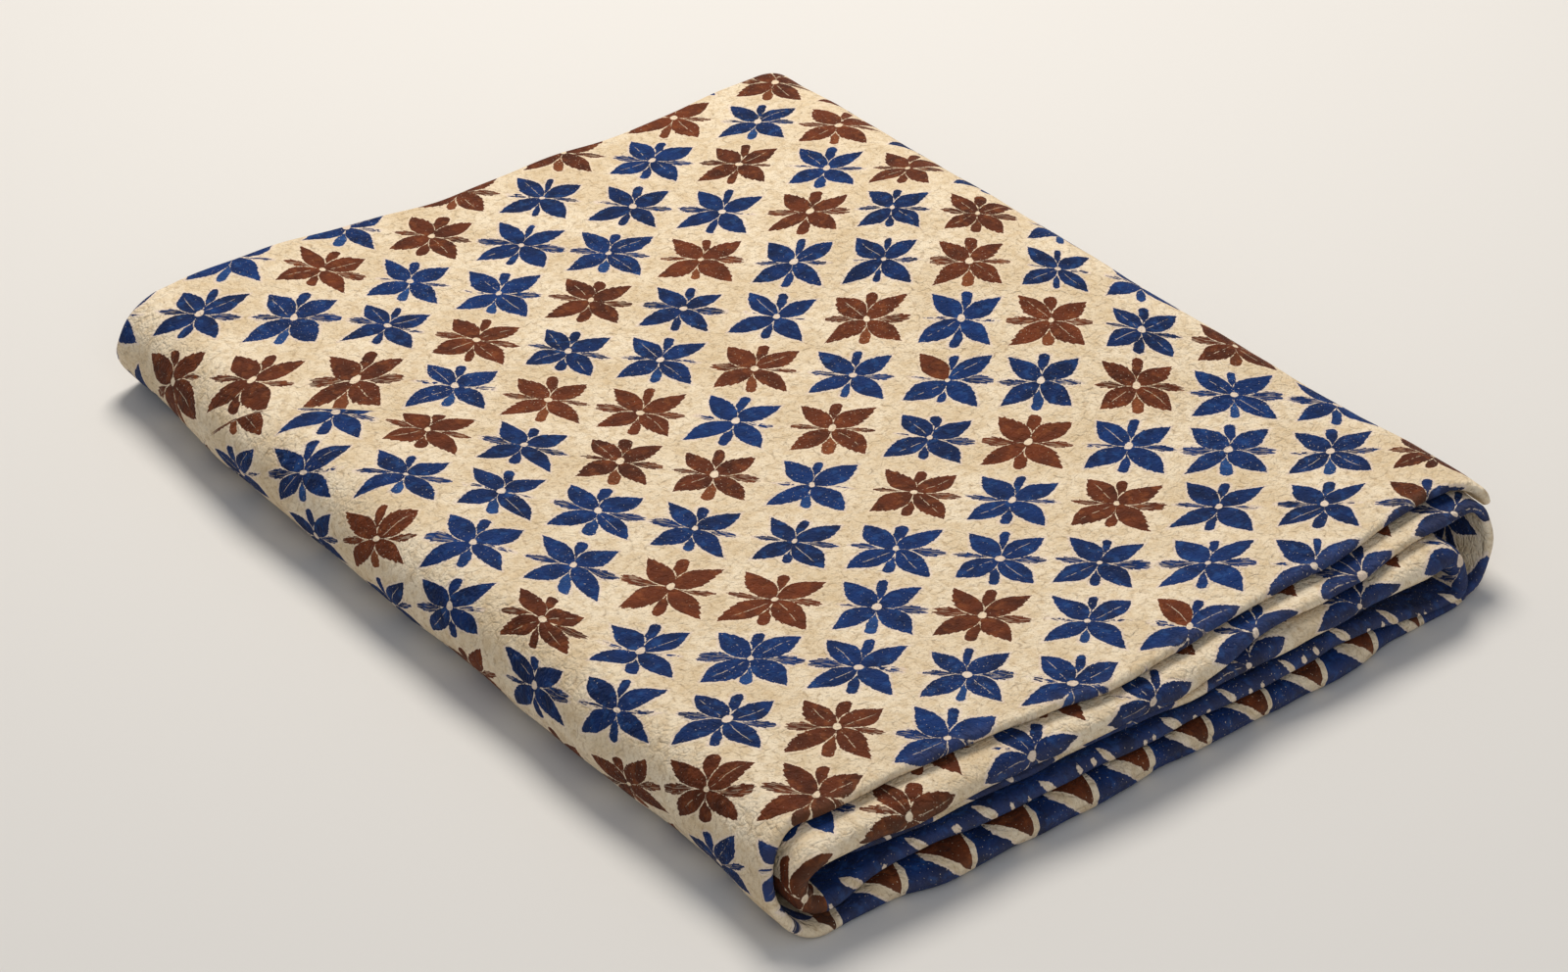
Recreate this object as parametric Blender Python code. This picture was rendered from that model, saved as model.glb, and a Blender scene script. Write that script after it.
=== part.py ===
"""Folded batik cloth, one cut length of printed cotton.

Frame: metres, +Z up, origin under the middle of the folded bundle, on the
surface it rests on.  +X runs along the front folds, +Y runs back from them.

How it is folded: the length is first folded along its long sides, so it
becomes a soft flat strip with a rounded fold at the front and another at the
back.  The strip is then folded over and over on itself, so seen from the front
it is one flat spiral of five passes.  The first pass lies on top with its cut
end hanging over the right side, goes round the left side, runs back along the
bottom, round the right side, and so on inwards, until the other cut end stops
inside the left-hand hollow.
"""
import math

import bmesh
import bpy

MM = 0.001

# ---- cloth ---------------------------------------------------------------
PLY = 1.0                 # thickness of the cloth, mm
TUCK_WIDTH = 55.0         # how far the back fold is tucked in, mm
TUCK_CLEAR = 1.55         # tucked flap to the ply beside it, middle to middle
EDGE_INSET = 2.5          # long cut edge set in from the back fold, mm
NOSE_DEPTH = 1.25         # depth of a fold's rounding over half its height

# ---- bundle --------------------------------------------------------------
HALF_WIDTH = 108.0        # along X, over the rounded sides, mm
HALF_DEPTH = 144.0        # along Y, mm
MIDDLE = (0.06, 1.10)     # X and Y of the bundle's middle in the tables, mm
FRONT_BLEND = -112.0      # the front heights hold up to this Y, mm
BACK_BLEND = 72.0         # the back heights hold from this Y, mm

# X places where the heights of the passes are given, left to right, mm
STATIONS = (-92.0, -74.0, 4.0, 38.0, 60.0, 86.0)
# X places where the lines of the front and back folds are given, mm
FOLD_PLACES = (-90.0, -64.0, -8.0, 45.0, 92.0)
# X and Y places of the cross lines and rows that all the passes share, mm
COLUMNS = (-92.0, -83.0, -74.0, -35.0, 4.0, 21.0, 38.0, 60.0, 73.0, 86.0)
ROWS = (-112.0, -50.0, 12.0, 72.0)

# One row for each pass of the strip, from the top down.
# floor: its lower face at the six stations, along the front, mm
# rise:  its thickness at the six stations, along the front, mm
# floor_back, rise_back: the same along the back, everywhere
# nose:  Y of its front fold at the five fold places, mm
# heel:  Y of its back fold at the five fold places, mm
PASSES = {
    "top": dict(
        floor=(23.0, 23.0, 23.1, 23.2, 23.3, 23.4), rise=(3.0, 3.0, 3.1, 3.0, 3.0, 2.7),
        floor_back=21.4, rise_back=4.5,
        nose=(-131.5, -132.0, -136.0, -132.3, -127.5), heel=(145.5, 144.5, 137.0, 135.5, 138.0)),
    "second": dict(
        floor=(15.4, 15.4, 15.5, 19.5, 19.7, 19.9), rise=(7.1, 7.1, 7.1, 3.1, 2.9, 2.7),
        floor_back=16.1, rise_back=4.7,
        nose=(-140.0, -140.5, -142.3, -138.2, -133.5), heel=(145.0, 143.5, 136.5, 134.5, 137.5)),
    "third": dict(
        floor=(12.4, 12.3, 12.4, 12.5, 12.7, 12.8), rise=(2.5, 2.5, 2.5, 6.4, 6.4, 6.5),
        floor_back=11.0, rise_back=4.5,
        nose=(-136.0, -137.5, -139.0, -141.2, -139.5), heel=(144.0, 142.5, 135.5, 134.0, 136.5)),
    "fourth": dict(
        floor=(3.3, 7.5, 7.5, 7.3, 7.2, 3.2), rise=(4.7, 4.3, 4.4, 4.5, 4.5, 2.8),
        floor_back=5.7, rise_back=4.5,
        nose=(-139.0, -140.5, -142.0, -141.6, -141.0), heel=(145.5, 144.0, 137.5, 135.5, 137.5)),
    "bottom": dict(
        floor=(0.0, 0.0, 0.0, 0.0, 0.0, 0.0), rise=(2.7, 7.0, 7.0, 6.8, 6.7, 2.6),
        floor_back=0.0, rise_back=5.1,
        nose=(-141.5, -146.0, -144.7, -144.0, -139.5), heel=(147.5, 146.0, 139.5, 137.5, 139.0)),
}

# One row for each leg of the strip, in the order it is folded.
# kind:    "end" hangs over the side, "turn" is a half round, "pass" is flat
# upper, lower: passes that the leg joins, or the pass it is
# side:    +1 right, -1 left
# upper_x, lower_x: X where the round meets its upper and lower pass, at the
#          front and at the back, mm (for the end, where a whole round would)
# reach:   how far its middle line bulges past those, front and back, mm
# draw:    how far the fold lines draw in at the far point of the round, at
#          the front and at the back, mm
# steps:   divisions round the leg
LEGS = (
    dict(kind="end", upper="top", side=1, upper_x=(99.5, 93.0), lower_x=(90.0, 93.0),
         reach=(13.4, 14.9), draw=(-6.0, 0.0), steps=5),
    dict(kind="pass", upper="top"),
    dict(kind="turn", upper="top", lower="bottom", side=-1, upper_x=(-95.5, -95.0),
         lower_x=(-97.0, -95.0), reach=(10.6, 11.2), draw=(1.0, 2.5), steps=10),
    dict(kind="pass", upper="bottom"),
    dict(kind="turn", upper="second", lower="bottom", side=1, upper_x=(99.5, 93.0),
         lower_x=(90.0, 92.0), reach=(10.2, 9.0), draw=(0.0, 2.0), steps=10),
    dict(kind="pass", upper="second"),
    dict(kind="turn", upper="second", lower="fourth", side=-1, upper_x=(-94.5, -95.0),
         lower_x=(-94.5, -95.0), reach=(6.2, 5.4), draw=(0.0, 1.0), steps=8),
    dict(kind="pass", upper="fourth"),
    dict(kind="turn", upper="third", lower="fourth", side=1, upper_x=(87.0, 91.0),
         lower_x=(90.0, 91.0), reach=(4.2, 3.0), draw=(0.0, 0.0), steps=7),
    dict(kind="pass", upper="third"),
)
SHELL = 4                     # the leg that the hanging end lies over
END_ANGLE = (35.0, 34.0)      # where the hanging end stops, degrees above level
INNER_END = (-85.0, -87.0)    # X where the inside end stops, front and back, mm

# ---- unevenness of the whole bundle --------------------------------------
CROWN = -0.6                  # the middle lies lower than the rim, mm
SWELL = 0.3                   # a slow rise and fall over the top, mm
# The rounds on the right are fuller than the rest, so the bundle is thicker
# there: by how much, from which X to which X it grows, and its share at Y
# places from the front to the back, mm.  DRAWN_IN is how far the side draws
# in for each mm of it.
FULL_SIDE = dict(height=10.0, start=18.0, stop=86.0,
                 place=(-100.0, -29.0, 5.0, 40.0, 85.0, 130.0),
                 share=(0.0, 0.85, 1.0, 0.9, 0.3, 0.0))
DRAWN_IN = 0.95
# How far the two sides wander, at Y places from the front to the back, mm,
# positive towards +X
SIDES = dict(
    place=(-142.0, -112.0, -50.0, 12.0, 72.0, 140.0),
    left=(0.0, 1.6, -0.2, -1.0, -1.8, 1.0),
    right=(0.4, 0.8, -1.8, -1.4, 0.8, -0.4))


def ease(t):
    t = min(1.0, max(0.0, t))
    return t * t * (3.0 - 2.0 * t)


def between(x, places, values):
    """Value at x, eased from one place to the next, held past the ends."""
    if x <= places[0]:
        return values[0]
    for a, b, va, vb in zip(places, places[1:], values, values[1:]):
        if x <= b:
            return va + (vb - va) * ease((x - a) / (b - a))
    return values[-1]


def mix(pair, w):
    return pair[0] + (pair[1] - pair[0]) * w


def back_share(y):
    """0 along the front of the bundle, 1 along the back."""
    return min(1.0, max(0.0, (y - FRONT_BLEND) / (BACK_BLEND - FRONT_BLEND)))


def level(name, x, w):
    """Middle height and thickness of a pass at x, w from front to back."""
    row = PASSES[name]
    floor = mix((between(x, STATIONS, row["floor"]), row["floor_back"]), w)
    rise = mix((between(x, STATIONS, row["rise"]), row["rise_back"]), w)
    return floor + rise / 2.0, rise


def fold_lines(name, x):
    """Y of the front and back folds of a pass at x."""
    row = PASSES[name]
    return between(x, FOLD_PLACES, row["nose"]), between(x, FOLD_PLACES, row["heel"])


def pass_places(index):
    """X of a pass's cross lines in order, each as a front and back pair."""
    before, after = LEGS[index - 1], LEGS[index + 1] if index + 1 < len(LEGS) else None
    start = before["lower_x" if before["side"] < 0 else "upper_x"]
    stop = after["upper_x" if after["side"] < 0 else "lower_x"] if after else INNER_END
    low, high = sorted((start, stop))
    inner = [(x, x) for x in COLUMNS if max(low) + 1.0 < x < min(high) - 1.0]
    if stop < start:
        inner.reverse()
    return [start] + inner + [stop]


def strip_at(index, s, w):
    """The strip's middle line: (x, z), outward (nx, nz), thickness, folds.

    s is the number of the cross line in a pass, and 0 to 1 round a turn."""
    leg = LEGS[index]
    if leg["kind"] == "pass":
        places = pass_places(index)
        x = mix(places[s], w)
        z, rise = level(leg["upper"], x, w)
        up = 1.0 if places[-1] < places[0] else -1.0
        return (x, z), (0.0, up), rise, fold_lines(leg["upper"], x)
    start, reach = mix(leg["upper_x"], w), mix(leg["reach"], w)
    top, top_rise = level(leg["upper"], start, w)
    if leg["kind"] == "end":
        shell = LEGS[SHELL]
        high = level(shell["upper"], mix(shell["upper_x"], w), w)[0]
        low = level(shell["lower"], mix(shell["lower_x"], w), w)[0]
        angle = (1.0 - s) * math.radians(90.0 - mix(END_ANGLE, w))
        middle, height, stop = (low + high) / 2.0, top - (low + high) / 2.0, mix(leg["lower_x"], w)
        rise, folds = top_rise, fold_lines("top", start)
    else:
        stop = mix(leg["lower_x"], w)
        low, low_rise = level(leg["lower"], stop, w)
        # a left round goes down, a right round goes up
        share = s if leg["side"] < 0 else 1.0 - s
        angle = math.pi * share
        middle, height = (top + low) / 2.0, (top - low) / 2.0
        rise = mix((top_rise, low_rise), ease(share))
        upper, lower = fold_lines(leg["upper"], start), fold_lines(leg["lower"], stop)
        folds = (mix((upper[0], lower[0]), ease(share)), mix((upper[1], lower[1]), ease(share)))
    across, along = math.sin(angle), math.cos(angle)
    lean, axis = (start - stop) / 2.0, (start + stop) / 2.0
    folds = (folds[0] + leg["draw"][0] * across, folds[1] - leg["draw"][1] * across)
    nx, nz = leg["side"] * height * across, reach * along - leg["side"] * lean * across
    size = math.hypot(nx, nz)
    x = axis + lean * along + leg["side"] * reach * across
    return (x, middle + height * along), (nx / size, nz / size), rise, folds


def cross_lines():
    """Every cross line of the strip, as its leg and its place in the leg."""
    lines = [(0, 0.0)]
    for index, leg in enumerate(LEGS):
        if leg["kind"] == "pass":
            lines += [(index, k) for k in range(1, len(pass_places(index)))]
        else:
            lines += [(index, k / leg["steps"]) for k in range(1, leg["steps"] + 1)]
    return lines


def places_across():
    """Places across the cloth: from its long edge forwards under the strip,
    round the front fold, back over the strip, round the back fold and in to
    the tucked edge."""
    places = [("edge", 0.0)] + [("under", y) for y in reversed(ROWS)]
    places += [("nose", k / 7.0) for k in range(8)]
    places += [("over", y) for y in ROWS]
    places += [("heel", k / 5.0) for k in range(6)]
    places += [("tuck", 1.0)]
    return places


def place(index, s, role, t):
    """One point of the middle of the cloth, before the bundle's unevenness."""
    _, _, rise, (nose, _) = strip_at(index, s, 0.0)
    _, _, rise_back, (_, heel) = strip_at(index, s, 1.0)
    nose_depth = NOSE_DEPTH * (rise - PLY) / 2.0
    heel_depth = NOSE_DEPTH * (rise_back - PLY - TUCK_CLEAR) / 2.0
    back = heel - heel_depth
    y = {
        "edge": back - EDGE_INSET,
        "under": t,
        "nose": nose + nose_depth * (1.0 - math.sin(math.pi * t)),
        "over": t,
        "heel": back + heel_depth * math.sin(math.pi * t),
        "tuck": back - TUCK_WIDTH * t,
    }[role]
    (x, z), (nx, nz), rise, _ = strip_at(index, s, back_share(y))
    half = (rise - PLY) / 2.0
    height = {
        "edge": -half,
        "under": -half,
        "nose": -half * math.cos(math.pi * t),
        "over": half,
        "heel": TUCK_CLEAR / 2.0 + (half - TUCK_CLEAR / 2.0) * math.cos(math.pi * t),
        "tuck": TUCK_CLEAR - half,
    }[role]
    return x + nx * height, y, z + nz * height


def settle(x, y, z):
    """The unevenness of the whole bundle, which keeps the plies in order."""
    u, v = x / HALF_WIDTH, y / HALF_DEPTH
    lift = (z - PLY / 2.0) / 27.0
    dome = max(0.0, 1.0 - u * u) * max(0.0, 1.0 - v * v)
    z += lift * (CROWN * dome + SWELL * math.sin(2.1 * u + 1.3) * math.sin(2.6 * v + 0.4))
    full = lift * FULL_SIDE["height"] * between(y, FULL_SIDE["place"], FULL_SIDE["share"])
    full *= ease((x - FULL_SIDE["start"]) / (FULL_SIDE["stop"] - FULL_SIDE["start"]))
    z += full
    side = SIDES["left"] if u < 0.0 else SIDES["right"]
    x += (between(y, SIDES["place"], side) - full * DRAWN_IN) * abs(u) ** 3
    return (x - MIDDLE[0]) * MM, (y - MIDDLE[1]) * MM, z * MM


def clear_scene():
    for item in list(bpy.data.objects):
        bpy.data.objects.remove(item, do_unlink=True)


def cloth_material():
    material = bpy.data.materials.new("printed_cotton")
    material.use_nodes = True
    shader = material.node_tree.nodes["Principled BSDF"]
    shader.inputs["Base Color"].default_value = (0.56, 0.43, 0.28, 1.0)
    shader.inputs["Roughness"].default_value = 0.88
    shader.inputs["Metallic"].default_value = 0.0
    return material


def make_cloth():
    rows = places_across()
    build = bmesh.new()
    grid = [[build.verts.new(settle(*place(index, s, role, t))) for role, t in rows]
            for index, s in cross_lines()]
    # every cell is split along the same slant, so that plies lie parallel
    for here, following in zip(grid, grid[1:]):
        for k in range(len(rows) - 1):
            a, b, c, d = here[k], here[k + 1], following[k + 1], following[k]
            if (c.co.x - a.co.x) * (c.co.y - a.co.y) > 0.0:
                corners = (a, b, c), (a, c, d)
            else:
                corners = (a, b, d), (b, c, d)
            for three in corners:
                build.faces.new(three)
    bmesh.ops.recalc_face_normals(build, faces=build.faces)
    mesh = bpy.data.meshes.new("cloth")
    build.to_mesh(mesh)
    build.free()
    cloth = bpy.data.objects.new("cloth", mesh)
    bpy.context.scene.collection.objects.link(cloth)
    mesh.materials.append(cloth_material())
    mesh.shade_smooth()
    ply = cloth.modifiers.new("ply", "SOLIDIFY")
    ply.thickness = PLY * MM
    ply.offset = 0.0
    ply.use_even_offset = True
    ply.use_rim = True
    return cloth


clear_scene()
make_cloth()
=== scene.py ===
"""Folded batik cloth: the cloth's own surface and print, a plain floor, soft
light and a camera.  Metres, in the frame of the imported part."""

import math

import bpy
import numpy as np
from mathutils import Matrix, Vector


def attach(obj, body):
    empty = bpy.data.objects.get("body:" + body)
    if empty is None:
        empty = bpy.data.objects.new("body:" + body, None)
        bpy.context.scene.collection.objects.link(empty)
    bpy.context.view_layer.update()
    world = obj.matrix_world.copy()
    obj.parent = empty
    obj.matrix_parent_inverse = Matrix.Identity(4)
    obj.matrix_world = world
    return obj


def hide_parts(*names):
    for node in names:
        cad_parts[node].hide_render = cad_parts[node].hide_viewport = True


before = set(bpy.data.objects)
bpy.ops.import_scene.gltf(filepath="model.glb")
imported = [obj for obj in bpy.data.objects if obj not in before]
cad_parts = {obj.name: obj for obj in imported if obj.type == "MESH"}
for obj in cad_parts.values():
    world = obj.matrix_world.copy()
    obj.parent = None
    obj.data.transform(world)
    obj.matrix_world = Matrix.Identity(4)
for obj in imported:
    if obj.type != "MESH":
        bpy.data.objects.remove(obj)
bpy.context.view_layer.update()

MM = 0.001

# ---- the folds, as in the cloth's solid, mm ------------------------------
PLY = 1.0                 # thickness that the folds are spaced for
SHOWN_PLY = 0.86          # thickness of the cloth made here
CUT_PLY = 0.55            # and along its cut edges, where it is pressed thin
TUCK_WIDTH = 55.0
TUCK_CLEAR = 1.55
EDGE_INSET = 2.5
NOSE_DEPTH = 1.25
HALF_WIDTH = 108.0
HALF_DEPTH = 144.0
MIDDLE = (0.06, 1.10)
FRONT_BLEND = -112.0
BACK_BLEND = 72.0
STATIONS = (-92.0, -74.0, 4.0, 38.0, 60.0, 86.0)
FOLD_PLACES = (-90.0, -64.0, -8.0, 45.0, 92.0)
PASSES = {
    "top": dict(
        floor=(23.0, 23.0, 23.1, 23.2, 23.3, 23.4), rise=(3.0, 3.0, 3.1, 3.0, 3.0, 2.7),
        floor_back=21.4, rise_back=4.5,
        nose=(-131.5, -132.0, -136.0, -132.3, -127.5), heel=(145.5, 144.5, 137.0, 135.5, 138.0)),
    "second": dict(
        floor=(15.4, 15.4, 15.5, 19.5, 19.7, 19.9), rise=(7.1, 7.1, 7.1, 3.1, 2.9, 2.7),
        floor_back=16.1, rise_back=4.7,
        nose=(-140.0, -140.5, -142.3, -138.2, -133.5), heel=(145.0, 143.5, 136.5, 134.5, 137.5)),
    "third": dict(
        floor=(12.4, 12.3, 12.4, 12.5, 12.7, 12.8), rise=(2.5, 2.5, 2.5, 6.4, 6.4, 6.5),
        floor_back=11.0, rise_back=4.5,
        nose=(-136.0, -137.5, -139.0, -141.2, -139.5), heel=(144.0, 142.5, 135.5, 134.0, 136.5)),
    "fourth": dict(
        floor=(3.3, 7.5, 7.5, 7.3, 7.2, 3.2), rise=(4.7, 4.3, 4.4, 4.5, 4.5, 2.8),
        floor_back=5.7, rise_back=4.5,
        nose=(-139.0, -140.5, -142.0, -141.6, -141.0), heel=(145.5, 144.0, 137.5, 135.5, 137.5)),
    "bottom": dict(
        floor=(0.0, 0.0, 0.0, 0.0, 0.0, 0.0), rise=(2.7, 7.0, 7.0, 6.8, 6.7, 2.6),
        floor_back=0.0, rise_back=5.1,
        nose=(-141.5, -146.0, -144.7, -144.0, -139.5), heel=(147.5, 146.0, 139.5, 137.5, 139.0)),
}
# lines: how many cross lines each leg gets here
LEGS = (
    dict(kind="end", upper="top", side=1, upper_x=(99.5, 93.0), lower_x=(90.0, 93.0),
         reach=(13.4, 14.9), draw=(-6.0, 0.0), lines=12),
    dict(kind="pass", upper="top", lines=96),
    dict(kind="turn", upper="top", lower="bottom", side=-1, upper_x=(-95.5, -95.0),
         lower_x=(-97.0, -95.0), reach=(10.6, 11.2), draw=(1.0, 2.5), lines=26),
    dict(kind="pass", upper="bottom", lines=62),
    dict(kind="turn", upper="second", lower="bottom", side=1, upper_x=(99.5, 93.0),
         lower_x=(90.0, 92.0), reach=(10.2, 9.0), draw=(0.0, 2.0), lines=24),
    dict(kind="pass", upper="second", lines=78),
    dict(kind="turn", upper="second", lower="fourth", side=-1, upper_x=(-94.5, -95.0),
         lower_x=(-94.5, -95.0), reach=(6.2, 5.4), draw=(0.0, 1.0), lines=16),
    dict(kind="pass", upper="fourth", lines=60),
    dict(kind="turn", upper="third", lower="fourth", side=1, upper_x=(87.0, 91.0),
         lower_x=(90.0, 91.0), reach=(4.2, 3.0), draw=(0.0, 0.0), lines=14),
    dict(kind="pass", upper="third", lines=50),
)
SHELL = 4
BOTTOM, SECOND, FOURTH = 3, 5, 7
END_ANGLE = (35.0, 34.0)
INNER_END = (-85.0, -87.0)
CROWN = -0.6
SWELL = 0.3
FULL_SIDE = dict(
    height=10.0, start=18.0, stop=86.0,
    place=(-100.0, -29.0, 5.0, 40.0, 85.0, 130.0),
    share=(0.0, 0.85, 1.0, 0.9, 0.3, 0.0))
DRAWN_IN = 0.95
SIDES = dict(
    place=(-142.0, -112.0, -50.0, 12.0, 72.0, 140.0),
    left=(0.0, 1.6, -0.2, -1.0, -1.8, 1.0),
    right=(0.4, 0.8, -1.8, -1.8, -0.6, -1.6))

# ---- how finely the cloth is made across ---------------------------------
UNDER_ROWS = 14
NOSE_ROWS = 22
FRONT_ROWS = 16           # over the first FRONT_SPAN behind the nose
FRONT_SPAN = 0.12         # as a share of the way to the back fold
OVER_ROWS = 34
HEEL_ROWS = 9
TUCK_ROWS = 5

# ---- soft unevenness that the solid leaves out ---------------------------
# Waves over the top: height mm, wavelength mm, direction degrees, phase
WAVES = (
    (0.16, 92.0, 12.0, 0.4), (0.14, 61.0, 74.0, 2.1), (0.11, 43.0, 139.0, 5.0),
    (0.09, 31.0, 33.0, 1.2), (0.07, 23.0, 104.0, 3.7), (0.055, 17.0, 158.0, 0.9),
    (0.045, 12.5, 61.0, 4.4), (0.035, 9.5, 5.0, 2.8))
# Wandering of the front folds: depth mm, wavelength mm, turn with height
# (radians per mm), phase
FRONT_WAVES = (
    (0.42, 71.0, 0.21, 0.6), (0.30, 39.0, -0.37, 2.9), (0.20, 24.0, 0.52, 1.7),
    (0.12, 14.5, -0.70, 4.1))
BACK_WAVES = (
    (0.60, 83.0, 0.17, 1.9), (0.42, 47.0, -0.31, 0.3), (0.24, 27.0, 0.45, 3.3))
SIDE_WAVES = (
    (0.40, 77.0, 0.12, 2.2), (0.28, 44.0, -0.26, 5.1), (0.16, 22.0, 0.40, 0.8))
# Creases in the front of the bundle: height z of the crease at three X
# places, its depth there, and how wide it is, mm
CREASES = (
    dict(place=(-60.0, -20.0, 8.0), z=(19.6, 19.2, 19.0), depth=(0.0, 0.7, 0.0), width=0.9),
    dict(place=(-70.0, 10.0, 70.0), z=(2.8, 3.2, 2.4), depth=(0.25, 0.6, 0.25), width=0.8),
)
# A soft lip along the top's front edge: its height at X places, mm
LIP = dict(place=(-90.0, -20.0, 40.0, 84.0), height=(0.25, 0.35, 0.8, 0.6), y=-120.5, width=7.5)


def ease(t):
    t = min(1.0, max(0.0, t))
    return t * t * (3.0 - 2.0 * t)


def between(x, places, values):
    if x <= places[0]:
        return values[0]
    for a, b, va, vb in zip(places, places[1:], values, values[1:]):
        if x <= b:
            return va + (vb - va) * ease((x - a) / (b - a))
    return values[-1]


def mix(pair, w):
    return pair[0] + (pair[1] - pair[0]) * w


def back_share(y):
    return min(1.0, max(0.0, (y - FRONT_BLEND) / (BACK_BLEND - FRONT_BLEND)))


def level(name, x, w):
    row = PASSES[name]
    floor = mix((between(x, STATIONS, row["floor"]), row["floor_back"]), w)
    rise = mix((between(x, STATIONS, row["rise"]), row["rise_back"]), w)
    return floor + rise / 2.0, rise


def fold_lines(name, x):
    row = PASSES[name]
    return between(x, FOLD_PLACES, row["nose"]), between(x, FOLD_PLACES, row["heel"])


def pass_ends(index):
    before, after = LEGS[index - 1], LEGS[index + 1] if index + 1 < len(LEGS) else None
    start = before["lower_x" if before["side"] < 0 else "upper_x"]
    stop = after["upper_x" if after["side"] < 0 else "lower_x"] if after else INNER_END
    return start, stop


def strip_at(index, s, w):
    """The strip's middle line at share s of a leg: (x, z), outward, thickness, folds."""
    leg = LEGS[index]
    if leg["kind"] == "pass":
        start, stop = pass_ends(index)
        x = mix((mix(start, w), mix(stop, w)), s)
        z, rise = level(leg["upper"], x, w)
        return (x, z), (0.0, 1.0 if stop < start else -1.0), rise, fold_lines(leg["upper"], x)
    start, reach = mix(leg["upper_x"], w), mix(leg["reach"], w)
    top, top_rise = level(leg["upper"], start, w)
    if leg["kind"] == "end":
        shell = LEGS[SHELL]
        high = level(shell["upper"], mix(shell["upper_x"], w), w)[0]
        low = level(shell["lower"], mix(shell["lower_x"], w), w)[0]
        angle = (1.0 - s) * math.radians(90.0 - mix(END_ANGLE, w))
        middle, height, stop = (low + high) / 2.0, top - (low + high) / 2.0, mix(leg["lower_x"], w)
        rise, folds = top_rise, fold_lines("top", start)
    else:
        stop = mix(leg["lower_x"], w)
        low, low_rise = level(leg["lower"], stop, w)
        share = s if leg["side"] < 0 else 1.0 - s
        angle = math.pi * share
        middle, height = (top + low) / 2.0, (top - low) / 2.0
        rise = mix((top_rise, low_rise), ease(share))
        upper, lower = fold_lines(leg["upper"], start), fold_lines(leg["lower"], stop)
        folds = (mix((upper[0], lower[0]), ease(share)), mix((upper[1], lower[1]), ease(share)))
    across, along = math.sin(angle), math.cos(angle)
    lean, axis = (start - stop) / 2.0, (start + stop) / 2.0
    folds = (folds[0] + leg["draw"][0] * across, folds[1] - leg["draw"][1] * across)
    nx, nz = leg["side"] * height * across, reach * along - leg["side"] * lean * across
    size = math.hypot(nx, nz)
    x = axis + lean * along + leg["side"] * reach * across
    return (x, middle + height * along), (nx / size, nz / size), rise, folds


def cross_lines():
    lines = [(0, 0.0)]
    for index, leg in enumerate(LEGS):
        lines += [(index, k / leg["lines"]) for k in range(1, leg["lines"] + 1)]
    return lines


def places_across():
    places = [("under", k / UNDER_ROWS) for k in range(UNDER_ROWS)]
    places += [("nose", k / NOSE_ROWS) for k in range(NOSE_ROWS + 1)]
    places += [("over", FRONT_SPAN * (k / FRONT_ROWS) ** 1.35) for k in range(1, FRONT_ROWS + 1)]
    places += [("over", FRONT_SPAN + (1.0 - FRONT_SPAN) * k / OVER_ROWS) for k in range(1, OVER_ROWS)]
    places += [("heel", k / HEEL_ROWS) for k in range(HEEL_ROWS + 1)]
    places += [("tuck", k / TUCK_ROWS) for k in range(1, TUCK_ROWS + 1)]
    return places


def place(index, s, role, t, ends):
    rise, nose, rise_back, heel = ends
    nose_depth = NOSE_DEPTH * (rise - PLY) / 2.0
    heel_depth = NOSE_DEPTH * (rise_back - PLY - TUCK_CLEAR) / 2.0
    back, front = heel - heel_depth, nose + nose_depth
    y = {
        "under": mix((back - EDGE_INSET, front), t),
        "nose": nose + nose_depth * (1.0 - math.sin(math.pi * t)),
        "over": mix((front, back), t),
        "heel": back + heel_depth * math.sin(math.pi * t),
        "tuck": back - TUCK_WIDTH * t,
    }[role]
    (x, z), (nx, nz), rise, _ = strip_at(index, s, back_share(y))
    half = (rise - PLY) / 2.0
    height = {
        "under": -half,
        "nose": -half * math.cos(math.pi * t),
        "over": half,
        "heel": TUCK_CLEAR / 2.0 + (half - TUCK_CLEAR / 2.0) * math.cos(math.pi * t),
        "tuck": TUCK_CLEAR - half,
    }[role]
    return x + nx * height, y, z + nz * height


def waves(rows, along, height):
    total = 0.0
    for depth, length, turn, phase in rows:
        total = total + depth * np.sin(2.0 * np.pi * along / length + turn * height + phase)
    return total


def smooth(t):
    t = np.clip(t, 0.0, 1.0)
    return t * t * (3.0 - 2.0 * t)


def eased(x, places, values):
    out = np.full_like(x, values[0])
    for a, b, va, vb in zip(places, places[1:], values, values[1:]):
        out = np.where(x > a, va + (vb - va) * smooth((x - a) / (b - a)), out)
    return out


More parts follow.
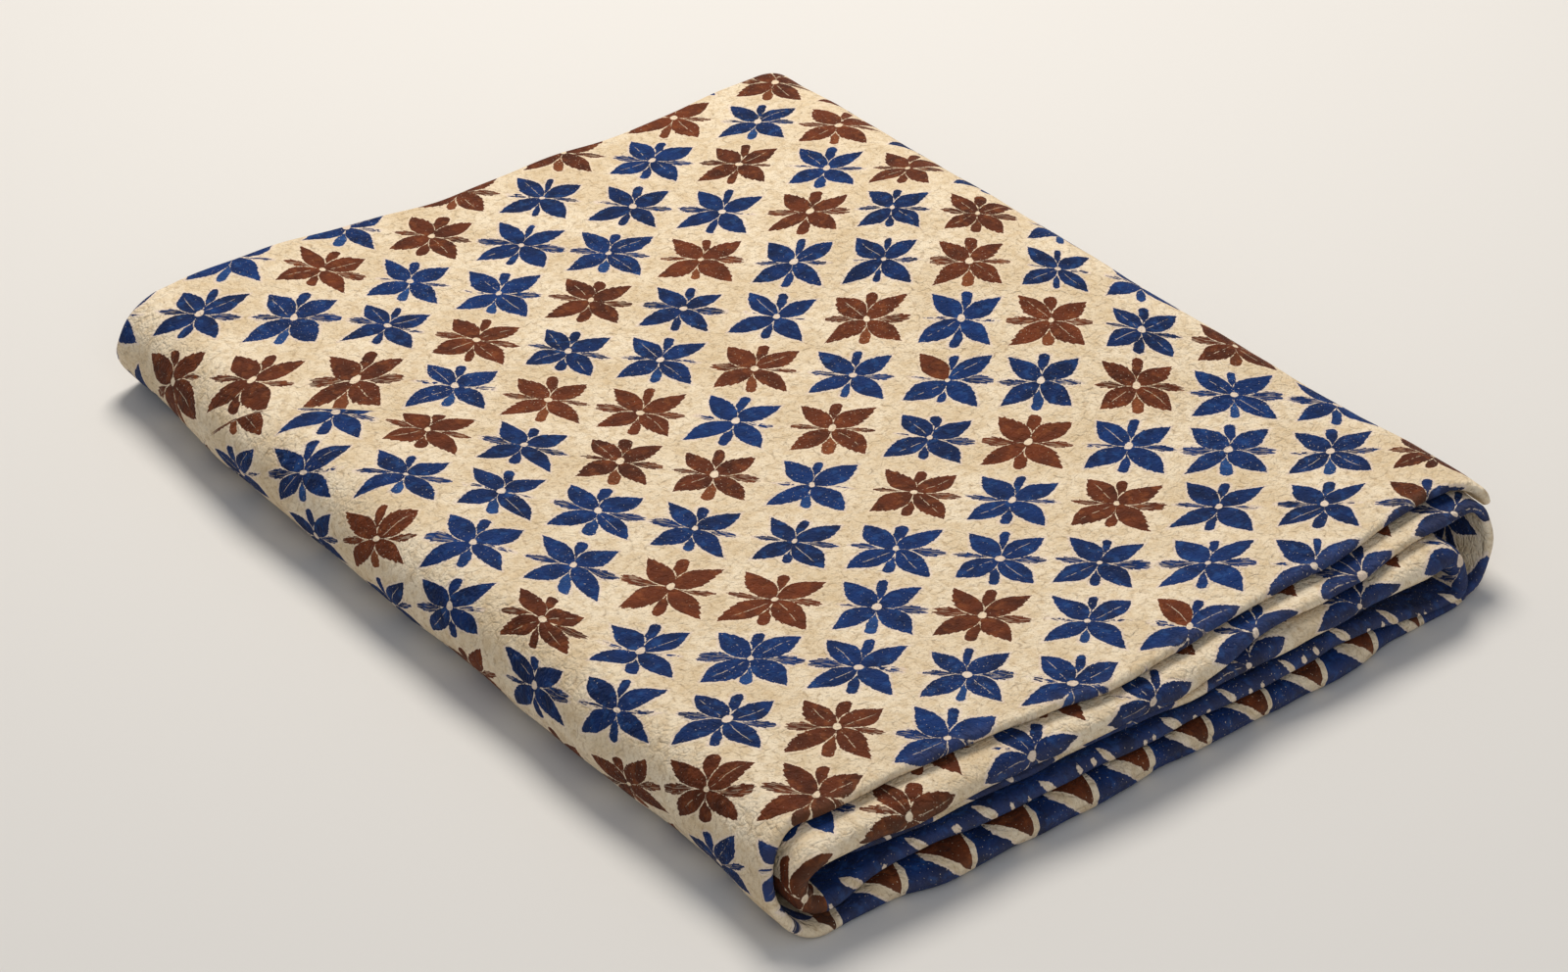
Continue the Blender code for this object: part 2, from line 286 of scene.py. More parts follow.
def settle(p):
    """The unevenness of the whole bundle. Each step moves a point along one
    axis by less than the plies are apart there, so plies keep their order."""
    x, y, z = p[..., 0].copy(), p[..., 1].copy(), p[..., 2].copy()
    u, v = x / HALF_WIDTH, y / HALF_DEPTH
    lift = (z - PLY / 2.0) / 27.0
    dome = np.maximum(0.0, 1.0 - u * u) * np.maximum(0.0, 1.0 - v * v)
    z = z + lift * (CROWN * dome + SWELL * np.sin(2.1 * u + 1.3) * np.sin(2.6 * v + 0.4))
    full = lift * FULL_SIDE["height"] * eased(y, FULL_SIDE["place"], FULL_SIDE["share"])
    full = full * smooth((x - FULL_SIDE["start"]) / (FULL_SIDE["stop"] - FULL_SIDE["start"]))
    side = np.where(u < 0.0, eased(y, SIDES["place"], SIDES["left"]),
                    eased(y, SIDES["place"], SIDES["right"]))
    x = x + (side - full * DRAWN_IN) * np.abs(u) ** 3

    share = np.clip(z / 27.0, 0.0, 1.0)
    z = z + full
    ripple = 0.0
    for height, length, turn, phase in WAVES:
        a = math.radians(turn)
        ripple = ripple + height * np.sin(2.0 * np.pi * (x * math.cos(a) + y * math.sin(a)) / length + phase)
    rim = smooth((HALF_WIDTH - 4.0 - np.abs(x)) / 22.0) * smooth((HALF_DEPTH - 10.0 - np.abs(y)) / 14.0)
    z = z + share ** 3 * ripple * rim
    z = z + share ** 3 * eased(x, LIP["place"], LIP["height"]) * np.exp(-((y - LIP["y"]) / LIP["width"]) ** 2)

    front = smooth((-116.0 - y) / 20.0)
    y = y + front * waves(FRONT_WAVES, x, z)
    for crease in CREASES:
        depth = eased(x, crease["place"], crease["depth"])
        line = eased(x, crease["place"], crease["z"])
        y = y + front * depth * np.exp(-((z - line) / crease["width"]) ** 2)
    y = y + smooth((y - 112.0) / 24.0) * waves(BACK_WAVES, x, z)
    x = x + smooth((np.abs(x) - 88.0) / 16.0) * waves(SIDE_WAVES, y, z + 6.0 * (x > 0.0)) * 0.8
    return np.stack([x, y, z], -1)


def fold_cloth():
    """Middle surface of the cloth, mm, with its lines and places across."""
    lines, across = cross_lines(), places_across()
    points = np.zeros((len(lines), len(across), 3))
    for n, (index, s) in enumerate(lines):
        _, _, rise, (nose, _) = strip_at(index, s, 0.0)
        _, _, rise_back, (_, heel) = strip_at(index, s, 1.0)
        for k, (role, t) in enumerate(across):
            points[n, k] = place(index, s, role, t, (rise, nose, rise_back, heel))
    return lines, across, points


# ---- flat coordinates of the print ---------------------------------------
STEP = 24.0                   # from one star to the next, mm
TURN = math.radians(3.2)      # how far the print is out of line with the folds
FIRST_STAR = (-72.0, -114.0)  # X and Y of one star on the top, mm
ROLL_STAR = (-4.0, 0.5)       # X of one star on the second pass's front fold,
                              # and how far behind the fold's edge it is, mm
# How far the print is pulled askew, in star steps at places along the cloth,
# and its share at places across, mm: at the top's front edge, then down its
# left side, where the print has a join; past that line the shift is taken back
ASKEW = (
    dict(axis=1, along=(-90.0, -40.0, 13.0, 47.0, 85.0, 110.0), steps=(0.0, 0.12, 0.18, 0.36, 0.60, 0.70),
         across=(-175.0, -142.0, -125.0, -97.0, -63.0, -45.0), share=(0.0, 1.0, 0.95, 0.55, 0.12, 0.0)),
    dict(axis=1, along=(-106.0, -89.0, -72.0, -55.0, -30.0), steps=(0.0, 0.52, 0.31, 0.15, 0.0),
         across=(-112.0, -60.0, -45.0, -25.0, -5.0, 15.0), share=(0.1, -0.1, -0.1, 0.6, 0.8, 1.0)),
    dict(axis=1, along=(-180.0, -140.0, -123.0, -106.0, -89.0), steps=(0.0, 0.5, 0.60, 0.62, 0.0),
         across=(-112.0, -76.0, -35.0), share=(0.15, 0.25, 1.0)),
    dict(axis=1, along=(-195.0, -145.0, -123.0, -103.0), steps=(0.0, 0.5, 0.5, 0.0),
         across=(0.0, 1.0), share=(1.0, 1.0)),
    dict(axis=1, along=(-180.0, -120.0, -104.0, -60.0), steps=(0.0, 0.22, 0.20, 0.0),
         across=(80.0, 125.0), share=(0.0, 1.0)),
    dict(axis=0, along=(-195.0, -145.0, -123.0, -106.0, -89.0, -55.0),
         steps=(0.0, -0.25, -0.25, -0.13, -0.06, 0.0), across=(0.0, 1.0), share=(1.0, 1.0)),
)
JOIN = dict(line=-20.0, soft=1.0, steps=((60.0, 98.0, 0.66), (104.0, 124.0, 0.44)))
BORDER_PITCH = 17.5           # repeat of the two borders on the lower front folds
LEAF_PLACE = -50.0            # X of one undyed leaf of the upper one
ZIGZAG_PLACE = -42.0          # X of one low point of the lower one's zigzag


def star_places(u, v, origin, turn):
    a, b = u - origin[0], v - origin[1]
    a, b = a * math.cos(turn) - b * math.sin(turn), a * math.sin(turn) + b * math.cos(turn)
    return np.stack([(a - b) / (math.sqrt(2.0) * STEP), (a + b) / (math.sqrt(2.0) * STEP)], -1)


def lay_print(lines, across, points):
    """Flat place of each point of the cloth, its place in the grid of stars,
    and its distance across from the front fold, all from lengths on the cloth."""
    legs = np.array([index for index, _ in lines])
    nose = [k for k, (role, t) in enumerate(across) if role == "nose"]
    apex = nose[len(nose) // 2]
    home = min((k for k, (role, t) in enumerate(across) if role == "over"),
               key=lambda k: abs(across[k][1] - 0.3))
    along = np.linalg.norm(np.diff(points, axis=0), axis=2)
    for n in range(len(lines) - 1):
        if LEGS[legs[n + 1]]["kind"] != "pass":
            along[n] = along[n, apex]
    u = np.zeros(points.shape[:2])
    u[1:] = -np.cumsum(along, axis=0)
    middle = min((n for n in range(len(lines)) if legs[n] == 1), key=lambda n: abs(points[n, home, 0]))
    u += (points[middle, :, 0] - u[middle])[None, :]
    steps = np.linalg.norm(np.diff(points, axis=1), axis=2)
    v = np.zeros(points.shape[:2])
    v[:, 1:] = np.cumsum(steps, axis=1)
    v += (points[:, home, 1] - v[:, home])[:, None]
    from_fold = v - v[:, apex:apex + 1]

    stars = star_places(u, v, FIRST_STAR, TURN)
    row = min((n for n in range(len(lines)) if legs[n] == SECOND),
              key=lambda n: abs(points[n, apex, 0] - ROLL_STAR[0]))
    rolls = star_places(u, from_fold, (u[row, apex], ROLL_STAR[1]), 0.0)
    on_bottom = [n for n in range(len(lines)) if legs[n] == BOTTOM]
    rolls += np.round((stars - rolls)[on_bottom, apex].mean(0))
    for pull in ASKEW:
        shift = np.interp(u, pull["along"], pull["steps"]) * np.interp(v, pull["across"], pull["share"])
        stars[..., pull["axis"]] -= shift
    first, last = on_bottom[0], on_bottom[-1]
    change = smooth((np.arange(len(lines)) - first) / float(last - first))[:, None, None]
    stars = stars + change * (rolls - stars)

    def band(leg, reach):
        here = np.where(legs == leg)[0]
        number = np.arange(len(lines))
        inside = smooth((number - here[0] + 4) / 5.0) * smooth((here[-1] + 5 - number) / 5.0)
        return inside[:, None] * smooth(1.5 - np.abs(from_fold) / reach)

    def repeats(leg, x, pitch):
        """How many repeats of a border each point is past place x of a leg's front fold."""
        line = min(np.where(legs == leg)[0], key=lambda n: abs(points[n, apex, 0] - x))
        return (u[line, apex] - u) / pitch

    turned = np.repeat((legs >= SHELL)[:, None] * 1.0, len(across), axis=1)
    bands = np.stack([band(FOURTH, 8.5), band(BOTTOM, 9.0), turned], -1)
    runs = np.stack([repeats(FOURTH, LEAF_PLACE, BORDER_PITCH), repeats(BOTTOM, ZIGZAG_PLACE, BORDER_PITCH),
                     np.zeros_like(u)], -1)
    return u, v, stars, from_fold, bands, runs


def face_normals(points):
    du = np.gradient(points, axis=0)
    dv = np.gradient(points, axis=1)
    n = np.cross(du, dv)
    n /= np.maximum(np.linalg.norm(n, axis=2, keepdims=True), 1e-9)
    return n


# ---- room for each part of the cloth on its texture sheet ----------------
# shares: how large each leg's underside, front fold, upper side and back
# fold are drawn, outer face only; the inner face is drawn at INNER_SHARE
SHEET_SHARES = (
    (0.35, 1.7, 1.7, 0.7), (0.30, 2.0, 2.0, 0.6), (0.30, 1.6, 1.6, 0.8), (0.30, 1.7, 0.6, 0.8),
    (0.30, 1.4, 1.2, 0.8), (0.30, 1.8, 0.3, 0.6), (0.25, 1.2, 0.3, 0.6), (0.25, 1.5, 0.25, 0.6),
    (0.25, 1.2, 0.25, 0.6), (0.25, 1.0, 0.25, 0.6))
INNER_SHARE = 0.2
SHEET_GAP = 3.0


def sheet_layout(lines, across, u, v):
    """Rectangles of the texture sheet: line range, place range, face, corner, size."""
    roles = [role for role, _ in across]
    cuts = [0, roles.index("nose"), roles.index("over") - 1, roles.index("heel"), len(across) - 1]
    leg_cuts = [0]
    for leg in LEGS:
        leg_cuts.append(leg_cuts[-1] + leg["lines"])
    charts = []
    for index, shares in enumerate(SHEET_SHARES):
        a, b = leg_cuts[index], leg_cuts[index + 1]
        groups = [(cuts[g], cuts[g + 1], shares[g]) for g in range(4)]
        if shares[1] == shares[2]:
            groups[1:3] = [(cuts[1], cuts[3], shares[1])]
        wide = abs(u[b] - u[a]).mean()
        for c, d, share in groups:
            charts.append(dict(lines=(a, b), places=(c, d), face=0,
                               size=(wide * share, (v[a:b + 1, d] - v[a:b + 1, c]).mean() * share)))
        charts.append(dict(lines=(a, b), places=(0, len(across) - 1), face=1,
                           size=(wide * INNER_SHARE, (v[a:b + 1, -1] - v[a:b + 1, 0]).mean() * INNER_SHARE)))
    for chart in charts:
        chart["turned"] = chart["size"][0] > chart["size"][1]
        chart["room"] = tuple(sorted(chart["size"]))
    charts.sort(key=lambda c: -c["room"][1])

    def pack(width):
        x = y = shelf = 0.0
        for chart in charts:
            w, h = chart["room"]
            if x + w > width:
                x, y, shelf = 0.0, y + shelf + SHEET_GAP, 0.0
            chart["corner"] = (x, y)
            x, shelf = x + w + SHEET_GAP, max(shelf, h)
        return y + shelf

    best = min((max(width, pack(width)), width) for width in np.arange(420.0, 1400.0, 7.0))
    pack(best[1])
    return charts, best[0] + SHEET_GAP


# ---- the mesh ------------------------------------------------------------
def make_cloth():
    lines, across, points = fold_cloth()
    u, v, stars, from_fold, bands, runs = lay_print(lines, across, points)
    middle = settle(points)
    normals = face_normals(middle)
    top_line = sum(leg["lines"] for leg in LEGS[:1]) + LEGS[1]["lines"] // 2
    over = [k for k, (role, t) in enumerate(across) if role == "over"]
    if normals[top_line, over[len(over) // 2], 2] < 0.0:
        normals = -normals
    rows, cols = points.shape[:2]
    to_edge = np.minimum(np.arange(rows)[:, None], (rows - 1 - np.arange(rows))[:, None]) * 1.0
    to_edge = np.minimum(to_edge, np.minimum(v - v[:, :1], v[:, -1:] - v))
    half = (CUT_PLY + (SHOWN_PLY - CUT_PLY) * smooth(to_edge / 2.5))[..., None] / 2.0
    outer, inner = middle + normals * half, middle - normals * half
    where = np.concatenate([outer.reshape(-1, 3), inner.reshape(-1, 3)])
    where = (where - np.array([MIDDLE[0], MIDDLE[1], 0.0])) * MM

    number = np.arange(rows * cols).reshape(rows, cols)
    a, b, c, d = number[:-1, :-1], number[:-1, 1:], number[1:, 1:], number[1:, :-1]
    front = np.stack([a, b, c, d], -1).reshape(-1, 4)
    probe = front[0]
    quad = where[probe]
    facing = np.cross(quad[1] - quad[0], quad[3] - quad[0])
    if facing @ normals.reshape(-1, 3)[probe[0]] < 0.0:
        front = front[:, ::-1]
    back = front[:, ::-1] + rows * cols
    total = rows * cols
    ring = np.concatenate([number[0, :], number[1:, -1], number[-1, -2::-1], number[-2:0:-1, 0]])
    following = np.roll(ring, -1)
    rim = np.stack([ring, following, following + total, ring + total], -1)
    # the rim runs the other way round from the faces that it closes
    pairs = set(map(tuple, np.stack([front, np.roll(front, -1, axis=1)], -1).reshape(-1, 2).tolist()))
    if (int(ring[0]), int(following[0])) in pairs:
        rim = rim[:, ::-1]
    faces = np.concatenate([front, back, rim])

    mesh = bpy.data.meshes.new("batik_cloth")
    mesh.vertices.add(len(where))
    mesh.vertices.foreach_set("co", where.astype(np.float32).ravel())
    mesh.loops.add(faces.size)
    mesh.loops.foreach_set("vertex_index", faces.astype(np.int32).ravel())
    mesh.polygons.add(len(faces))
    mesh.polygons.foreach_set("loop_start", np.arange(0, faces.size, 4, dtype=np.int32))
    mesh.polygons.foreach_set("use_smooth", np.concatenate(
        [np.ones(len(front) + len(back), bool), np.zeros(len(rim), bool)]))
    mesh.update(calc_edges=True)

    def attribute(name, values):
        both = np.concatenate([values.reshape(-1, 3)] * 2).astype(np.float32)
        layer = mesh.attributes.new(name, "FLOAT_VECTOR", "POINT")
        layer.data.foreach_set("vector", both.ravel())

    fold_wear = np.exp(-(from_fold / 2.2) ** 2)
    attribute("star_at", np.concatenate([stars, from_fold[..., None]], -1))
    attribute("cloth_at", np.stack([u, v, fold_wear], -1))
    attribute("border_at", bands)
    attribute("repeat_at", runs)

    charts, span = sheet_layout(lines, across, u, v)
    spots = np.zeros((faces.shape[0], 4, 2), np.float32)
    quads = (rows - 1) * (cols - 1)
    line_of, place_of = number // cols, number % cols
    corner_line = line_of.ravel()[front]
    corner_place = place_of.ravel()[front]
    low_line, low_place = corner_line.min(1), corner_place.min(1)
    for chart in charts:
        (l0, l1), (k0, k1) = chart["lines"], chart["places"]
        pick = np.where((low_line >= l0) & (low_line < l1) & (low_place >= k0) & (low_place < k1))[0]
        run = np.abs(u[:, (k0 + k1) // 2] - u[l0, (k0 + k1) // 2])
        run = run / run[l1]
        climb = (v - v[:, k0:k0 + 1]) / (v[:, k1:k1 + 1] - v[:, k0:k0 + 1])
        at = front[pick]
        s = run[line_of.ravel()[at]]
        t = climb.ravel()[at]
        if chart["turned"]:
            s, t = t, s
        w, h = chart["room"]
        x, y = chart["corner"]
        target = pick
        placed = np.stack([(x + SHEET_GAP / 2.0 + s * w) / span, (y + SHEET_GAP / 2.0 + t * h) / span], -1)
        if chart["face"]:
            spots[quads + pick] = placed[:, ::-1]
        else:
            spots[pick] = placed
    corner = np.array([[span - 3.0, span - 3.0], [span - 0.5, span - 3.0], [span - 0.5, span - 0.5],
                       [span - 3.0, span - 0.5]]) / span
    spots[2 * quads:] = corner[None]
    layer = mesh.uv_layers.new(name="OFBake")
    layer.data.foreach_set("uv", spots.ravel())

    cloth = bpy.data.objects.new("batik_cloth", mesh)
    bpy.context.scene.collection.objects.link(cloth)
    return cloth


# ---- the print, as sums of numbers in the material -----------------------
class Number:
    """One value in the material, so that the print's formulas read as sums."""
    tree = None

    def __init__(self, socket):
        self.socket = socket

    def __add__(self, other): return number_node("ADD", self, other)
    def __radd__(self, other): return number_node("ADD", other, self)
    def __sub__(self, other): return number_node("SUBTRACT", self, other)
    def __rsub__(self, other): return number_node("SUBTRACT", other, self)
    def __mul__(self, other): return number_node("MULTIPLY", self, other)
    def __rmul__(self, other): return number_node("MULTIPLY", other, self)
    def __truediv__(self, other): return number_node("DIVIDE", self, other)
    def __neg__(self): return number_node("MULTIPLY", self, -1.0)


def feed(socket, value):
    if isinstance(value, Number):
        Number.tree.links.new(value.socket, socket)
    else:
        socket.default_value = value


def number_node(operation, *values):
    made = Number.tree.nodes.new("ShaderNodeMath")
    made.operation = operation
    for socket, value in zip(made.inputs, values):
        feed(socket, value)
    return Number(made.outputs[0])


def size(a): return number_node("ABSOLUTE", a)
def low(a, b): return number_node("MINIMUM", a, b)
def high(a, b): return number_node("MAXIMUM", a, b)
def whole(a): return number_node("FLOOR", a)
def part(a): return number_node("FRACT", a)
def sign(a): return number_node("SIGN", a)
def power(a, b): return number_node("POWER", a, b)
def above(a, b): return number_node("GREATER_THAN", a, b)
def wave(a): return number_node("SINE", a)
def remainder(a, b): return number_node("FLOORED_MODULO", a, b)


def clamped(a):
    made = number_node("MULTIPLY", a, 1.0)
    made.socket.node.use_clamp = True
    return made


def rising(a, start, stop):
    """0 below start, 1 above stop, smooth between."""
    made = Number.tree.nodes.new("ShaderNodeMapRange")
    made.interpolation_type = "SMOOTHSTEP"
    feed(made.inputs["Value"], a)
    feed(made.inputs["From Min"], start)
    feed(made.inputs["From Max"], stop)
    return Number(made.outputs["Result"])


def blend(t, a, b):
    return a + t * (b - a)


def vector(x, y, z=0.0):
    made = Number.tree.nodes.new("ShaderNodeCombineXYZ")
    for socket, value in zip(made.inputs, (x, y, z)):
        feed(socket, value)
    return Number(made.outputs[0])


def split(a):
    made = Number.tree.nodes.new("ShaderNodeSeparateXYZ")
    feed(made.inputs[0], a)
    return [Number(s) for s in made.outputs]


def attribute_at(name):
    made = Number.tree.nodes.new("ShaderNodeAttribute")
    made.attribute_name = name
    return Number(made.outputs["Vector"])


def noise(at, scale, detail=1.0, rough=0.5, out="Fac"):
    made = Number.tree.nodes.new("ShaderNodeTexNoise")
    made.noise_dimensions = "2D"
    feed(made.inputs["Vector"], at)
    for name, value in (("Scale", scale), ("Detail", detail), ("Roughness", rough)):
        feed(made.inputs[name], value)
    return Number(made.outputs[out])


def chance(at):
    """Three numbers between 0 and 1 that are fixed for each whole place."""
    made = Number.tree.nodes.new("ShaderNodeTexWhiteNoise")
    made.noise_dimensions = "3D"
    feed(made.inputs["Vector"], at)
    return split(Number(made.outputs["Color"]))


def pebbles(at, scale):
    """Distance from the middle of the nearest of many small uneven cells."""
    made = Number.tree.nodes.new("ShaderNodeTexVoronoi")
    made.voronoi_dimensions = "2D"
    made.feature = "F1"
    feed(made.inputs["Vector"], at)
    feed(made.inputs["Scale"], scale)
    return Number(made.outputs["Distance"])


def colour(t, a, b):
    made = Number.tree.nodes.new("ShaderNodeMix")
    made.data_type = "RGBA"
    feed(made.inputs[0], t)
    feed(made.inputs[6], a)
    feed(made.inputs[7], b)
    return Number(made.outputs[2])


def tint(hex_code):
    """A linear colour from its usual six-figure code."""
    parts = [int(hex_code[n:n + 2], 16) / 255.0 for n in (0, 2, 4)]
    return tuple(c / 12.92 if c <= 0.04045 else ((c + 0.055) / 1.055) ** 2.4 for c in parts) + (1.0,)


CREAM = tint("dac6a5")
CREAM_DEEP = tint("c4a97f")
CREAM_PALE = tint("e8d8bc")
# brown of the small flecks, also used as painted shade in the crinkle's cracks
FLECK_AND_CRACK_SHADE = tint("967650")
WAX = tint("ece2d0")          # undyed cloth in the gaps of the stars
HALO_BLUE = tint("dfcdc4")    # undyed cloth close beside each dye
HALO_RUSSET = tint("ead5ba")
BLUE = tint("0a2f68")
BLUE_DEEP = tint("051a40")
BLUE_WORN = tint("29548f")
RUSSET = tint("6c3215")
RUSSET_DEEP = tint("451e0b")
RUSSET_WORN = tint("90512b")
SEAM = 0.006                  # softness of the dye's edge, in star steps

# Star: reach and half width of its parts, in star steps. The four leaves
# point along and across the cloth, the two stems and two blades between them.
LEAF = dict(middle=0.265, reach=0.55, width=0.130)
STEM = dict(reach=0.425, width=0.050)
BLADE = dict(start=0.09, reach=0.485, width=0.058)
EYE = 0.036
GAP = 0.007                   # undyed line between one part and the next
# Which stars are russet: those for which either sum, divided by 13, leaves
# one of its numbers. Past the right outer turn the count starts elsewhere.
RUSSET_SUMS = (
    dict(ii=6.0, ij=12.0, jj=10.0, i=8.0, j=11.0, leaves=(0.0, 2.0, 9.0, 12.0)),
    dict(ii=3.0, ij=4.0, jj=4.0, i=10.0, j=1.0, leaves=(3.0,)))
RUSSET_SHIFT = (3.0, 2.0)


def outline(t, start, middle, stop, width, inner, outer):
    """Half width of a leaf from start to stop, less than 0 past its ends."""
    behind = high((middle - t) / (middle - start), 0.0)
    ahead = high((t - middle) / (stop - middle), 0.0)
    return (1.0 - power(behind, inner) - power(ahead, outer)) * width


def star_print(i, j, turned, ragged, cut):
    """The dye of the stars, the share of russet, how far inside a dyed shape
    a place is, how faded it is, and numbers that belong to the star."""
    drift = split(noise(vector(i, j), 2.6, 0.0, out="Color"))
    i = i + (drift[0] - 0.5) * 0.055
    j = j + (drift[1] - 0.5) * 0.055
    ci, cj = whole(i + 0.5), whole(j + 0.5)
    r = chance(vector(ci, cj, 1.7))
    q = chance(vector(ci, cj, 5.3))
    a = i - ci + (r[0] - 0.5) * 0.030
    b = j - cj + (r[1] - 0.5) * 0.030
    lean = (q[0] - 0.5) * 0.14
    a, b = a + b * lean, b - a * lean
    grow = 0.96 + r[2] * 0.08
    a, b = a / grow, b / grow

    ni, nj = ci + turned * RUSSET_SHIFT[0], cj + turned * RUSSET_SHIFT[1]
    russet = 0.0
    for row in RUSSET_SUMS:
        total = ni * (ni * row["ii"] + nj * row["ij"] + row["i"]) + nj * (nj * row["jj"] + row["j"])
        rest = remainder(total, 13.0)
        for leaves in row["leaves"]:
            russet = number_node("COMPARE", rest, leaves, 0.4) + russet
    russet = clamped(russet)

    up = sign(b)
    p = chance(vector(ci * 2.0 + sign(a) * 0.5, cj * 2.0 + up * 0.5, 9.1))
    s = chance(vector(ci * 2.0 + sign(a) * 0.5, cj, 13.7))
    x, y = size(a), size(b)

    # the four large leaves
    dx, dy = 0.695, 0.719
    d = x * dx + y * dy
    reach = (LEAF["reach"] - up * 0.012) * (0.95 + p[0] * 0.09)
    e = x * dy - y * dx + (p[2] - 0.5) * 0.34 * d * (0.55 - d)
    leaf = outline(d, 0.0, LEAF["middle"] + (p[1] - 0.5) * 0.05, reach,
                   LEAF["width"] * (0.93 + p[1] * 0.16), 2.2, 1.55) - size(e)
    saw = (part(d * 13.0 + p[1]) - 0.5) * 0.020 * rising(d, 0.18, 0.30)
    leaf = leaf + saw * above(e * (p[0] - 0.5), 0.0) * (0.4 + russet * 0.6)

    # the upright stems, like short clubs
    club = STEM["width"] * (0.5 + 0.5 * rising(y, 0.10, 0.32)) * (0.82 + q[1] * 0.42) * (1.0 + russet * 0.2)
    over = high(y - (STEM["reach"] + (q[2] - 0.5) * 0.07 - STEM["width"]), 0.0)
    stem = low(club - power(x * x + over * over, 0.5), -leaf - GAP)

    # the level blades: full leaves on a russet star, often only sketched on
    # a blue one
    full = high(russet, rising(s[0], 0.34, 0.46))
    start = BLADE["start"]
    stop = BLADE["reach"] * (0.78 + full * 0.16 + s[2] * 0.10)
    widest = start + (stop - start) * 0.58
    body = outline(x, start, widest, stop, BLADE["width"], 1.5, 1.9) * (0.5 + full * 0.5)
    notch = (part(x * 13.0 + s[2]) - 0.6) * 0.016 * rising(x, 0.20, 0.32) * full
    blade = body + notch - size(y + (s[1] - 0.5) * 0.14 * x)
    blade = blade + low(cut - 0.50, 0.0) * 0.16 * (1.0 - full)
    blade = low(blade, -leaf - GAP)
    shape = high(leaf, high(stem, blade)) + ragged
    dye = clamped(shape / SEAM + 0.5)

    # an undyed eye in the middle, sometimes drawn out upwards
    eye_size = EYE * (0.75 + q[2] * 0.55) + ragged * 0.6
    eye = power(a * a + b * b * blend(above(b, 0.0) * above(q[1], 0.45), 1.0, 0.30), 0.5)
    dye = dye * (1.0 - clamped((eye_size - eye) / SEAM + 0.5))

    # fine undyed lines: a vein down some of the leaves, streaks along the
    # sketched blades
    vein_line = 0.0035 - size(e + (p[0] - 0.5) * 0.05 + ragged * 0.6)
    vein = clamped(vein_line / 0.005 + 0.5) * rising(d, 0.06, 0.12) * (1.0 - rising(d, 0.34, 0.45))
    vein = vein * above(p[1], 0.72) * rising(cut, 0.38, 0.50)
    streak = rising(noise(vector(a * 9.0 + ci * 3.1, b * 52.0), 1.0, 0.0), 0.54, 0.66)
    streak = streak * above(blade, high(leaf, stem)) * (1.0 - full * 0.65)
    dye = dye * (1.0 - vein * 0.75) * (1.0 - streak * 0.8)

    # the lower stem is often the fainter one
    faded = above(stem, high(leaf, blade)) * above(-b, 0.0) * rising(q[0], 0.35, 0.75)

    # one leaf here and there is printed in the other dye
    swap = above(p[2], 0.995) * above(leaf, high(stem, blade))
    russet = russet + swap - 2.0 * russet * swap
    return dye, russet, shape, faded, r, q


